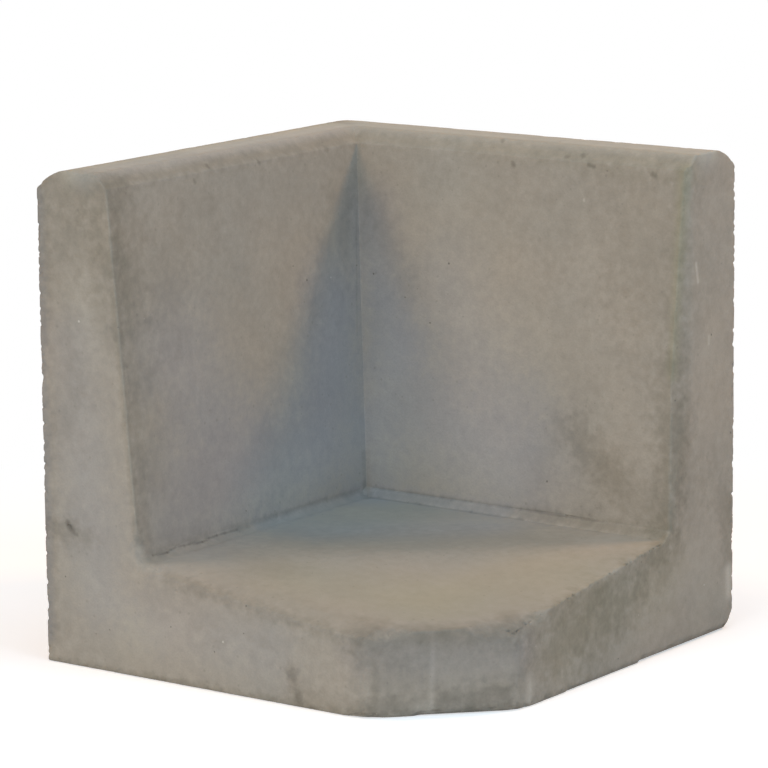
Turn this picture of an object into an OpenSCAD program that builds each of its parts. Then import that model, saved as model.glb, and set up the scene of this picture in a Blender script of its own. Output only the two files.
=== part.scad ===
// L-shaped retaining wall element, 90 degree corner piece, cast in concrete.
// Two upright walls meet at the back corner and stand on one thick foot,
// which fills the inside of the corner and has its free corner cut off.
// Units are millimetres. +Z is up, and the model stands on Z = 0.
// The walls are at the -X and +Y sides; the open side faces +X and -Y.

/* [Legs] */
// Outer length of each leg, from the back corner to its joint face
leg_length = 400; // [350:5:500]
// Height of the element
body_height = 400; // [300:5:600]

/* [Wall section] */
// Wall thickness at the rim, before the rim bevels are taken off
rim_thickness = 71; // [66:1:85]
// Wall thickness where the battered inner face reaches the foot
root_thickness = 98; // [90:1:120]

/* [Rim bevels] */
// Width of the crowned bevel on the outer edge of the rim
outer_bevel_width = 27; // [16:1:30]
// Drop of the crowned bevel on the outer edge of the rim
outer_bevel_drop = 16; // [12:1:20]
// Height by which the outer bevel bulges above its straight chord
outer_bevel_crown = 2.5; // [0.5:0.5:2.5]
// Width of the bevel on the inner edge of the rim
inner_bevel_width = 11; // [4:1:16]
// Drop of the bevel on the inner edge of the rim
inner_bevel_drop = 12; // [4:1:20]

/* [Foot] */
// Height of the level part of the foot, along the walls
foot_height = 93; // [80:1:110]
// Height of the foot at its cut-off nose
nose_height = 67; // [50:1:78]
// Length cut from each side at the free corner of the foot
nose_cut = 86; // [60:2:120]
// Size of the small bevel between the inner faces and the foot
toe_bevel = 7; // [3:1:12]

/* [Hidden] */
concrete = [0.57, 0.54, 0.49];
// margin by which a cutting shape runs past the faces it cuts
past = 20;
// margin by which the outer bevel's cutting square runs past the arc's ends
lap = 1;
half_leg = leg_length / 2;
// thickness gained by the inner face per millimetre of drop
batter = (root_thickness - rim_thickness) / (body_height - foot_height);
// wall thickness just below the inner rim bevel and just above the toe bevel
shoulder_thickness = rim_thickness + batter * inner_bevel_drop;
toe_thickness = root_thickness - batter * toe_bevel;
// distance from the back corner, along a leg, at which the foot starts to fall
crease_offset = root_thickness + toe_bevel;
// horizontal run of the falling part, measured square to the cut-off nose
fall_run = (leg_length - nose_cut - crease_offset) / sqrt(2);
fall_slope = (foot_height - nose_height) / fall_run;
// the crowned bevel is an arc: its chord, radius, and depth of centre below it
bevel_chord = sqrt(pow(outer_bevel_width, 2) + pow(outer_bevel_drop, 2));
crown_radius = pow(bevel_chord, 2) / (8 * outer_bevel_crown) + outer_bevel_crown / 2;
crown_depth = crown_radius - outer_bevel_crown;

// Section of one leg's outside: plumb outer face, level rim, crowned bevel on
// the outer edge. X is the distance inwards from the outer face, Y the height.
module outer_section() {
    difference() {
        square([leg_length, body_height]);
        crowned_corner();
    }
}

// Corner of section taken off above the arc of the outer bevel.
module crowned_corner() {
    difference() {
        translate([-past, body_height - outer_bevel_drop - lap])
            square([past + outer_bevel_width + lap, outer_bevel_drop + lap + past]);
        translate([
            outer_bevel_width / 2 + crown_depth * outer_bevel_drop / bevel_chord,
            body_height - outer_bevel_drop / 2 - crown_depth * outer_bevel_width / bevel_chord
        ])
            circle(r = crown_radius, $fn = 96);
    }
}

// Section of the space in front of one leg's inner face: toe bevel, battered
// face, bevelled inner edge of the rim.
module inner_section() {
    polygon([
        [root_thickness + toe_bevel, foot_height],
        [toe_thickness, foot_height + toe_bevel],
        [shoulder_thickness, body_height - inner_bevel_drop],
        [rim_thickness - inner_bevel_width, body_height],
        [rim_thickness - inner_bevel_width, body_height + past],
        [leg_length + past, body_height + past],
        [leg_length + past, foot_height]
    ]);
}

// Runs a section along the left leg, from run_start behind the back corner.
module along_left_leg(run_start, run_length) {
    translate([-half_leg, half_leg + run_start, 0])
        rotate([90, 0, 0])
            linear_extrude(height = run_length)
                children();
}

// Keeps what one leg's section and its mirror image in the other leg share,
// so that every face runs to a mitre at the corner.
module mitred(run_start, run_length) {
    intersection() {
        along_left_leg(run_start, run_length) children();
        mirror([1, 1, 0])
            along_left_leg(run_start, run_length) children();
    }
}

// Square-on view of the foot's free corner, used for both cuts on it:
// X runs outwards square to the nose, and X = 0 is the crease of the foot.
module facing_nose() {
    translate([-half_leg + crease_offset, -half_leg, 0])
        rotate([0, 0, -45])
            children();
}

// Material above the falling part of the foot.
module above_fall() {
    facing_nose()
        rotate([90, 0, 0])
            translate([0, 0, -leg_length - past])
                linear_extrude(height = 2 * (leg_length + past))
                    polygon([
                        [0, foot_height],
                        [leg_length, foot_height - fall_slope * leg_length],
                        [leg_length, body_height + past],
                        [0, body_height + past]
                    ]);
}

// Material beyond the cut-off nose.
module beyond_nose() {
    facing_nose()
        translate([fall_run, -leg_length - past, -past])
            cube([leg_length, 2 * (leg_length + past), body_height + 2 * past]);
}

module corner_element() {
    color(concrete)
        difference() {
            mitred(0, leg_length) outer_section();
            mitred(past, leg_length + 2 * past) inner_section();
            above_fall();
            beyond_nose();
        }
}

corner_element();
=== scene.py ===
"""Dresses the cast concrete corner element of an L-shaped retaining wall.

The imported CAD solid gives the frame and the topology. A worn, weathered skin is
cut from a copy of it and stands for it, in the same place and size.

Many places are given as (u, v, z): depth from the side wall's outer face, depth
from the back wall's outer face, and height. They are in metres for the shape and
in millimetres for marks and seams.
"""

import itertools
import logging
import math
from dataclasses import dataclass
from enum import Enum

import bmesh
import bpy
import numpy as np
from mathutils import Matrix, Vector


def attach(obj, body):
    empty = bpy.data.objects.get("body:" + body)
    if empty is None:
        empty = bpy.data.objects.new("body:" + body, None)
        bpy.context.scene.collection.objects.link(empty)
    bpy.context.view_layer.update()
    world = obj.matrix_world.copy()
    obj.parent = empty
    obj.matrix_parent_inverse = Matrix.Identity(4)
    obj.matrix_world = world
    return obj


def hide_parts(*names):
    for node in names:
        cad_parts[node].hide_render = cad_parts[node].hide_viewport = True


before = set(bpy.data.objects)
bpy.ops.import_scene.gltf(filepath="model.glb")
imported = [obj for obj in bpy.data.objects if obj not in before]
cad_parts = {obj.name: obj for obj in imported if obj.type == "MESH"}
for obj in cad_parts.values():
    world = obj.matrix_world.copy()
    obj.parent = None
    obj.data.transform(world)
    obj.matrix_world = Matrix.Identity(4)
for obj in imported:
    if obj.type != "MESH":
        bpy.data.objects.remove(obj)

NODE = "corner_element"
LOG = logging.getLogger("corner_element")
MM = 0.001
ROOT_2 = math.sqrt(2)

Colour = tuple[float, float, float, float]
Place = tuple[float, float, float]
Line = tuple[Place, Place]
Socket = bpy.types.NodeSocket
Feed = Socket | float | tuple[float, ...] | Vector

ORIGIN: Place = (0.0, 0.0, 0.0)
WHITE: Colour = (1.0, 1.0, 1.0, 1.0)


class Axis(Enum):
    """Row axes, by their place in a coordinate."""

    X = 0
    Y = 1
    Z = 2


@dataclass(frozen=True)
class ElementSizes:
    """Sizes of the cast element in metres, under the names of the CAD source."""

    leg_length: float = 0.400
    body_height: float = 0.400
    rim_thickness: float = 0.071
    root_thickness: float = 0.098
    outer_bevel_width: float = 0.027
    outer_bevel_drop: float = 0.016
    outer_bevel_crown: float = 0.0025
    inner_bevel_width: float = 0.011
    inner_bevel_drop: float = 0.012
    foot_height: float = 0.093
    nose_height: float = 0.067
    nose_cut: float = 0.086
    toe_bevel: float = 0.007

    @property
    def half_leg(self) -> float:
        """Half the length of a leg."""
        return self.leg_length / 2

    @property
    def batter(self) -> float:
        """Thickness that the inner face gains for each metre of drop."""
        gained = self.root_thickness - self.rim_thickness
        return gained / (self.body_height - self.foot_height)

    @property
    def crease_offset(self) -> float:
        """Distance along a leg at which the foot starts to fall."""
        return self.root_thickness + self.toe_bevel

    @property
    def nose_corner(self) -> float:
        """Distance along a leg at which the nose is cut off."""
        return self.leg_length - self.nose_cut

    @property
    def fall_slope(self) -> float:
        """Drop of the falling part of the foot for each metre of run."""
        run = (self.nose_corner - self.crease_offset) / ROOT_2
        return (self.foot_height - self.nose_height) / run

    def depths(self, points: np.ndarray) -> np.ndarray:
        """Turns row coordinates into (u, v, z).

        Args:
            points: N x 3 coordinates in the row frame.

        Returns:
            N x 3 depths and heights.
        """
        half = self.half_leg
        columns = points[:, 0] + half, half - points[:, 1], points[:, 2]
        return np.stack(columns, axis=1)


@dataclass(frozen=True)
class SoftEdge:
    """A stretch of edge between two (u, v, z) that is rounder than the rest."""

    start: Place
    end: Place
    radius: float
    reach: float


@dataclass(frozen=True)
class WornBevel:
    """A stretch of edge between two (u, v, z) that is worn down to a slanting band.

    over and back are unit directions, in the same terms, that run from the edge
    along its two faces. Each pair of widths is the band's reach along them at
    both ends.
    """

    start: Place
    end: Place
    over: Place
    back: Place
    over_widths: tuple[float, float]
    back_widths: tuple[float, float]
    fade: float = 0.6


@dataclass(frozen=True)
class Chip:
    """A piece broken out: its centre as (u, v, z), its radius and its roughness."""

    centre: Place
    radius: float
    roughness: float = 0.25


@dataclass(frozen=True)
class Seam:
    """A thin dark line through a chain of (u, v, z) points in millimetres, cut in as an open
    joint where it has depth.

    depth is how far it is cut in, reach and strength are those of its dark mark, which is
    partly painted shade where the line runs in a crease and wholly painted shade down the
    inward corner.
    """

    points: tuple[Place, ...]
    depth: float
    reach: float
    strength: float

    def lines(self) -> list[Line]:
        """Its straight stretches, as pairs of ends."""
        return list(zip(self.points, self.points[1:]))


class LatticeNoise:
    """Smooth seeded gradient noise, about -1 to 1."""

    SIZE = 256
    GAIN = 1.6
    LAYER_SHIFT = 0.37

    def __init__(self, seed: int) -> None:
        """Draws the lattice.

        Args:
            seed: the same seed gives the same noise.
        """
        rng = np.random.default_rng(seed)
        self.order = rng.permutation(self.SIZE)
        gradients = rng.normal(size=(self.SIZE, 3))
        self.gradients = gradients / np.linalg.norm(gradients, axis=1)[:, None]

    def at(self, points: np.ndarray, size: float) -> np.ndarray:
        """Noise at points.

        Args:
            points: N x 3 coordinates in metres.
            size: width of one lattice cell in metres.

        Returns:
            One value for each point.
        """
        scaled = points / size
        cell = np.floor(scaled).astype(int)
        inside = scaled - cell
        ease = inside**3 * (inside * (inside * 6 - 15) + 10)
        mask = self.SIZE - 1
        total = np.zeros(len(points))
        for corner in itertools.product((0, 1), repeat=3):
            i, j, k = (cell + np.array(corner)).T
            key = self.order[i & mask]
            key = self.order[(key + j) & mask]
            key = self.order[(key + k) & mask]
            offset = inside - np.array(corner)
            weight = np.prod(np.where(np.array(corner), ease, 1 - ease), axis=1)
            total += weight * np.einsum("ij,ij->i", self.gradients[key], offset)
        return total * self.GAIN

    def layered(self, points: np.ndarray, size: float, layers: int) -> np.ndarray:
        """Sum of finer and weaker layers of noise.

        Args:
            points: N x 3 coordinates in metres.
            size: cell width of the coarsest layer in metres.
            layers: how many layers, each half as wide and half as strong.

        Returns:
            One value for each point, about -1 to 1.
        """
        total = np.zeros(len(points))
        for layer in range(layers):
            shift = self.LAYER_SHIFT * layer
            total += self.at(points + shift, size / 2**layer) / 2**layer
        return total / (2 - 0.5 ** (layers - 1))


class CornerForm:
    """The element's shape as a signed distance, with edges rounded by wear."""

    CREASE_BLEND = 2.0 * MM
    LIP_BLEND = 1.0 * MM
    NOSE_BLEND = 8.0 * MM
    HIP_BLEND = 3.0 * MM
    BAND_BLEND = 1.6 * MM
    BAND_SPAN = 1.3
    BEVEL_MARGIN = 12 * MM
    OUTER_CORNER = 1.5 * MM
    FILLET = 0.4 * MM
    COVE = 7.0 * MM

    def __init__(
        self,
        sizes: ElementSizes,
        bevels: tuple[WornBevel, ...],
        chips: tuple[Chip, ...],
        seams: tuple[Seam, ...],
    ) -> None:
        """Keeps the sizes and works out the crowned bevel.

        Args:
            sizes: the element's sizes.
            bevels: the edges that are worn to a band.
            chips: the pieces that are broken out.
            seams: the thin open joints.
        """
        self.sizes = sizes
        self.bevels = bevels
        self.chips = chips
        self.seams = seams
        width, drop = sizes.outer_bevel_width, sizes.outer_bevel_drop
        chord = math.hypot(width, drop)
        crown = sizes.outer_bevel_crown
        self.crown_radius = chord**2 / (8 * crown) + crown / 2
        depth = self.crown_radius - crown
        self.crown_u = width / 2 + depth * drop / chord
        self.crown_z = sizes.body_height - drop / 2 - depth * width / chord

    def crowned_bevel(self, depth: np.ndarray, z: np.ndarray) -> np.ndarray:
        """Distance outside the crowned bevel of one wall's outer edge.

        Args:
            depth: depth from that wall's outer face.
            z: height.

        Returns:
            Distance, which only counts near the bevel.
        """
        s = self.sizes
        arc = np.hypot(depth - self.crown_u, z - self.crown_z) - self.crown_radius
        beside = s.outer_bevel_width + self.BEVEL_MARGIN - depth
        below = z - (s.body_height - s.outer_bevel_drop - self.BEVEL_MARGIN)
        return np.minimum(arc, np.minimum(beside, below))

    def wall(self, depth: np.ndarray, z: np.ndarray) -> np.ndarray:
        """Distance outside one wall's inner face and inner rim bevel.

        Args:
            depth: depth from that wall's outer face.
            z: height.

        Returns:
            Distance.
        """
        s = self.sizes
        thickness = s.rim_thickness + s.batter * (s.body_height - z)
        face = (depth - thickness) / math.hypot(1, s.batter)
        lip = s.rim_thickness - s.inner_bevel_width
        drop = s.inner_bevel_drop
        run = s.rim_thickness + s.batter * drop - lip
        bevel = (depth - lip) * drop + (z - s.body_height) * run
        return blended([face, bevel / math.hypot(run, drop)], self.LIP_BLEND)

    def toe(self, depth: np.ndarray, z: np.ndarray) -> np.ndarray:
        """Distance outside the small bevel between one wall and the foot.

        Args:
            depth: depth from that wall's outer face.
            z: height.

        Returns:
            Distance.
        """
        s = self.sizes
        run = s.toe_bevel * (1 + s.batter)
        plane = (depth - s.crease_offset) * s.toe_bevel + (z - s.foot_height) * run
        return plane / math.hypot(run, s.toe_bevel)

    def foot(self, u: np.ndarray, v: np.ndarray, z: np.ndarray) -> np.ndarray:
        """Distance above the foot: level behind the crease, falling before it.

        Args:
            u: depth from the side wall's outer face.
            v: depth from the back wall's outer face.
            z: height.

        Returns:
            Distance.
        """
        s = self.sizes
        ahead = (u + v - s.leg_length - s.crease_offset) / ROOT_2
        fall = (z - s.foot_height + s.fall_slope * ahead) / math.hypot(1, s.fall_slope)
        return blended([z - s.foot_height, fall], self.CREASE_BLEND)

    def hollow(self, u: np.ndarray, v: np.ndarray, z: np.ndarray) -> np.ndarray:
        """Distance outside the inner side: both walls, their toes and the foot.

        Args:
            u: depth from the side wall's outer face.
            v: depth from the back wall's outer face.
            z: height.

        Returns:
            Distance.
        """
        inner = filleted(self.wall(u, z), self.foot(u, v, z), self.COVE)
        for other in (self.wall(v, z), self.toe(v, z)):
            inner = filleted(inner, other, self.FILLET)
        return inner

    def faces(self, points: np.ndarray) -> list[np.ndarray]:
        """Distances outside every face, with the inner side taken as one.

        Args:
            points: N x 3 coordinates in the row frame.

        Returns:
            Side and back, their two ends, rim, side and back bevel, nose,
            underside and inner side.
        """
        s = self.sizes
        u, v, z = s.depths(points).T
        length = s.leg_length
        nose = (u + v - 2 * length + s.nose_cut) / ROOT_2
        bevels = self.crowned_bevel(u, z), self.crowned_bevel(v, z)
        ends = u - length, v - length
        return [-u, -v, *ends, z - s.body_height, *bevels, nose, -z, self.hollow(u, v, z)]

    def surfaces(self, points: np.ndarray) -> list[np.ndarray]:
        """Distances outside groups of faces that meet each other about squarely.

        Args:
            points: N x 3 coordinates in the row frame.

        Returns:
            The outer faces with the rim, both ends with the nose, the underside
            and the inner side.
        """
        side, back, *ends, rim, side_bevel, back_bevel, nose, base, hollow = self.faces(
            points
        )
        corner = rounded([side, back], self.OUTER_CORNER)
        hip = blended([side_bevel, back_bevel], self.HIP_BLEND)
        outside = blended([corner, rim, hip], self.LIP_BLEND)
        return [outside, blended([*ends, nose], self.NOSE_BLEND), base, hollow]

    def worn_bevel(self, bevel: WornBevel, places: np.ndarray) -> np.ndarray:
        """Distance outside the band of one worn edge.

        Args:
            bevel: the worn edge.
            places: N x 3 of (u, v, z).

        Returns:
            Distance, which only counts near that edge.
        """
        start = np.array(bevel.start)
        run = np.array(bevel.end) - start
        length = np.linalg.norm(run)
        away, share = line_distance(places, bevel.start, bevel.end)
        along = (places - start) @ run / length
        beyond = np.maximum(np.maximum(-along, along - length), 0)
        offset = places - start - share[:, None] * run
        over = bevel.over_widths[0] + share * np.subtract(*bevel.over_widths[::-1])
        back = bevel.back_widths[0] + share * np.subtract(*bevel.back_widths[::-1])
        across = 1 - offset @ np.array(bevel.over) / over
        across -= offset @ np.array(bevel.back) / back
        band = across / np.sqrt(1 / over**2 + 1 / back**2) - bevel.fade * beyond
        return np.minimum(band, self.BAND_SPAN * np.hypot(over, back) - away)

    def distance(
        self, points: np.ndarray, radius: np.ndarray, ragged: np.ndarray
    ) -> np.ndarray:
        """Signed distance to the worn shape.

        Args:
            points: N x 3 coordinates in the row frame.
            radius: rounding radius at each point.
            ragged: noise at each point, which roughens the chips.

        Returns:
            Distance, negative inside.
        """
        places = self.sizes.depths(points)
        bands = [self.worn_bevel(bevel, places) for bevel in self.bevels]
        shape = rounded(self.surfaces(points), radius)
        shape = blended([shape, *bands], self.BAND_BLEND)
        for chip in self.chips:
            away = np.linalg.norm(places - np.array(chip.centre), axis=1)
            bite = chip.radius * (1 + chip.roughness * ragged) - away
            shape = np.maximum(shape, bite)
        for seam in self.seams:
            for start, end in seam.lines():
                away, _ = line_distance(places / MM, start, end)
                shape = np.maximum(shape, (seam.depth - away) * MM)
        return shape

    def edge_gap(self, points: np.ndarray) -> np.ndarray:
        """Distance from each surface point to the nearest outward edge."""
        ranked = np.sort(np.stack(self.faces(points)), axis=0)
        return np.maximum(-ranked[-2], 0)


def rounded(parts: list[np.ndarray], radius: float | np.ndarray) -> np.ndarray:
    """Distance to what all parts share, with its outward edges rounded.

    Args:
        parts: signed distances, negative inside.
        radius: radius of the rounding, one for all or one for each point.

    Returns:
        Signed distance.
    """
    raised = [part + radius for part in parts]
    top = np.maximum.reduce(raised)
    length = np.sqrt(sum(np.maximum(part, 0) ** 2 for part in raised))
    return np.minimum(top, 0) + length - radius


def blended(parts: list[np.ndarray], blend: float) -> np.ndarray:
    """Distance to what all parts share, softened where faces meet at a low angle.

    Args:
        parts: signed distances, negative inside.
        blend: parts that differ by less than this run into each other.

    Returns:
        Signed distance.
    """
    shape = parts[0]
    for part in parts[1:]:
        share = np.maximum(blend - np.abs(shape - part), 0) / blend
        shape = np.maximum(shape, part) + share**2 * blend / 4
    return shape


def filleted(a: np.ndarray, b: np.ndarray, radius: float) -> np.ndarray:
    """Distance to a and b together, with the inward edge filled."""
    return -rounded([-a, -b], radius)


def line_distance(
    places: np.ndarray, start: Place, end: Place
) -> tuple[np.ndarray, np.ndarray]:
    """Distance from each place to a straight line between two ends.

    Args:
        places: N x 3 coordinates.
        start: one end.
        end: the other end, which may be the same point.

    Returns:
        The distances, and how far along the line the nearest points lie, 0 to 1.
    """
    least = 1e-12
    origin, run = np.array(start), np.subtract(end, start)
    square = max(float(run @ run), least)
    share = np.clip((places - origin) @ run / square, 0, 1)
    away = np.linalg.norm(places - origin - share[:, None] * run, axis=1)
    return away, share


def nearest_line(
    places: np.ndarray, lines: list[Line] | tuple[Line, ...]
) -> np.ndarray:
    """Distance from each place to the nearest of some lines.

    Args:
        places: N x 3 coordinates.
        lines: pairs of ends.

    Returns:
        The distances.
    """
    near = np.full(len(places), np.inf)
    for start, end in lines:
        near = np.minimum(near, line_distance(places, start, end)[0])
    return near


def mirrored(place: Place) -> Place:
    """The place (u, v, z) on the other leg, as both legs are alike."""
    return (place[1], place[0], place[2])


def hollows(noise: np.ndarray) -> np.ndarray:
    """Turns noise into depths from 0 to 1, most of them shallow."""
    return ((noise + 1) / 2) ** 2


def graded(low: float, high: float, fine: float, coarse: float) -> list[float]:
    """Places from low to high, close together near both ends.

    Args:
        low: first place.
        high: last place.
        fine: spacing at the ends.
        coarse: widest spacing.

    Returns:
        The places, both ends included.
    """
    growth = 1.55
    near, step, reach = [0.0], fine, (high - low) / 2
    while near[-1] + step < reach and step < coarse:
        near.append(near[-1] + step)
        step *= growth
    left = high - low - 2 * near[-1]
    count = max(1, round(left / coarse))
    middle = [near[-1] + left * k / count for k in range(1, count)]
    places = near + middle + [high - low - place for place in reversed(near)]
    return [low + place for place in places]


def cut_places(breaks: list[float], fine: float, coarse: float) -> list[float]:
    """Cutting places across a whole side, graded between its breaks.

    Args:
        breaks: where the side's own lines lie, in rising order.
        fine: spacing at the breaks.
        coarse: widest spacing.

    Returns:
        The places, without the two ends and without near doubles.
    """
    end_margin, least = MM / 2, 0.6 * MM
    places: list[float] = []
    for low, high in zip(breaks, breaks[1:]):
        places += graded(low, high, fine, coarse)
    kept: list[float] = []
    for place in sorted(places):
        inside = breaks[0] + end_margin < place < breaks[-1] - end_margin
        if inside and (not kept or place - kept[-1] > least):
            kept.append(place)
    return kept


def slice_mesh(bm: bmesh.types.BMesh, axis: Axis, places: list[float]) -> None:
    """Cuts all faces of a mesh by parallel planes, from the lowest up.

    Args:
        bm: the mesh.
        axis: the axis that the planes are square to.
        places: where the planes stand, in rising order.
    """
    snap, clear = 0.02 * MM, 0.05 * MM
    normal = [0.0, 0.0, 0.0]
    normal[axis.value] = 1.0
    active = list(bm.faces)
    for place in places:
        edges = {edge for face in active for edge in face.edges}
        verts = {vert for face in active for vert in face.verts}
        spot = [0.0, 0.0, 0.0]
        spot[axis.value] = place
        geometry = [*verts, *edges, *active]
        cut = bmesh.ops.bisect_plane(
            bm, geom=geometry, dist=snap, plane_co=spot, plane_no=normal
        )
        active = [
            item
            for item in cut["geom"]
            if isinstance(item, bmesh.types.BMFace)
            and max(vert.co[axis.value] for vert in item.verts) > place + clear
        ]


@dataclass(frozen=True)
class Relief:
    """Hollows all over the skin, with their depth and width in metres.

    layers is how many layers of noise draw them, and shift keeps them from falling
    together with others.
    """

    depth: float
    size: float
    layers: int
    shift: float


@dataclass(frozen=True)
class Weathering:
    """How far the cast skin departs from the true form, in metres."""

    reliefs: tuple[Relief, ...] = (
        Relief(depth=0.5 * MM, size=120 * MM, layers=1, shift=7.7),
        Relief(depth=0.35 * MM, size=26 * MM, layers=2, shift=1.9),
        Relief(depth=0.16 * MM, size=7 * MM, layers=2, shift=5.3),
    )
    edge_radius: float = 1.4 * MM
    edge_radius_swing: float = 0.8 * MM
    edge_radius_size: float = 14 * MM
    edge_radius_shift: float = 3.1
    least_radius: float = 0.6 * MM
    chip_size: float = 9 * MM
    edge_crumble: float = 0.45 * MM
    rough_crumble: float = 1.7 * MM
    edge_crumble_size: float = 5.5 * MM
    edge_crumble_reach: float = 4 * MM
    edge_crumble_gain: float = 2.4
    edge_crumble_offset: float = -0.1
    rough_reach: float = 8 * MM
    underside_lift: float = 0.8 * MM
    underside_reach: float = 1.5 * MM
    edge_layers: int = 3
    crumble_layers: int = 2
    steps: int = 5
    seed: int = 11


class NodeTree:
    """Small helper that adds and links shader nodes in one tree."""

    def __init__(self, tree: bpy.types.NodeTree) -> None:
        """Takes the tree to build in.

        Args:
            tree: a material's or world's tree, or a node group.
        """
        self.tree = tree

    def feed(self, socket: Socket, value: Feed) -> None:
        """Links an input to an output, or gives it a value of its own.

        Args:
            socket: the input.
            value: an output socket, a number, a vector or a colour.
        """
        if isinstance(value, Socket):
            self.tree.links.new(value, socket)
        else:
            socket.default_value = value

    def add(
        self, kind: str, inputs: dict[str | int, Feed] | None = None, **settings: object
    ) -> bpy.types.Node:
        """Adds a node.

        Args:
            kind: the node's bl_idname.
            inputs: input name or place to a value or an output socket.
            **settings: properties set on the node before its inputs.

        Returns:
            The new node.
        """
        node = self.tree.nodes.new(kind)
        for name, value in settings.items():
            setattr(node, name, value)
        for name, value in (inputs or {}).items():
            self.feed(node.inputs[name], value)
        return node

    def math(self, operation: str, *values: Feed, clamp: bool = False) -> Socket:
        """Adds a Math node.

        Args:
            operation: its operation.
            *values: its inputs, in order.
            clamp: whether the result is kept from 0 to 1.

        Returns:
            Its output.
        """
        inputs = dict(enumerate(values))
        node = self.add("ShaderNodeMath", inputs, operation=operation, use_clamp=clamp)
        return node.outputs[0]

    def vector(self, operation: str, a: Feed, b: Feed) -> Socket:
        """Adds a Vector Math node.

        Args:
            operation: its operation.
            a: first input.
            b: second input, which is a number when a is scaled.

        Returns:
            The output that the operation fills.
        """
        second = "Scale" if operation == "SCALE" else 1
        node = self.add("ShaderNodeVectorMath", {0: a, second: b}, operation=operation)
        scalar = operation in ("DOT_PRODUCT", "DISTANCE")
        return node.outputs["Value" if scalar else "Vector"]

    def group(self, group: bpy.types.NodeTree, place: Socket, **values: Feed) -> Socket:
        """Places a node group.

        Args:
            group: the group.
            place: the coordinate that it looks at.
            **values: its other inputs.

        Returns:
            Its output.
        """
        inputs = {"Place": place, **values}
        return self.add("ShaderNodeGroup", inputs, node_tree=group).outputs[0]

    def mix(self, factor: Feed, a: Feed, b: Feed, blend: str = "MIX") -> Socket:
        """Adds a colour Mix node.

        Args:
            factor: share of b.
            a: first colour.
            b: second colour.
            blend: how b is laid over a.

        Returns:
            Its output.
        """
        inputs = {0: factor, 6: a, 7: b}
        node = self.add("ShaderNodeMix", inputs, data_type="RGBA", blend_type=blend)
        return node.outputs[2]

    def span(
        self, value: Feed, low: float, high: float, to_low: float = 0.0, to_high: float = 1.0
    ) -> Socket:
        """Adds a smooth Map Range node.

        Args:
            value: what is mapped.
            low: the value that gives to_low.
            high: the value that gives to_high.
            to_low: result at the low end.
            to_high: result at the high end.

        Returns:
            Its output.
        """
        inputs = dict(enumerate((value, low, high, to_low, to_high)))
        kind = "ShaderNodeMapRange"
        return self.add(kind, inputs, interpolation_type="SMOOTHSTEP").outputs[0]


class GroupTree(NodeTree):
    """A shader node group in the making, with one output."""

    def __init__(self, name: str, output: str, inputs: dict[str, float | Place]) -> None:
        """Starts the group and gives it its sockets.

        Args:
            name: the group's name.
            output: name of its one output.
            inputs: socket name to default value.
        """
        super().__init__(bpy.data.node_groups.new(name, "ShaderNodeTree"))
        sockets = self.tree.interface
        for label, default in inputs.items():
            kind = "NodeSocketVector" if isinstance(default, tuple) else "NodeSocketFloat"
            socket = sockets.new_socket(label, in_out="INPUT", socket_type=kind)
            socket.default_value = default
        sockets.new_socket(output, in_out="OUTPUT", socket_type="NodeSocketFloat")
        self.given = self.add("NodeGroupInput").outputs

    def finish(self, result: Socket) -> bpy.types.ShaderNodeTree:
        """Gives the group its result.

        Args:
            result: what its output carries.

        Returns:
            The finished group.
        """
        self.add("NodeGroupOutput", {0: result})
        return self.tree


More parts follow.
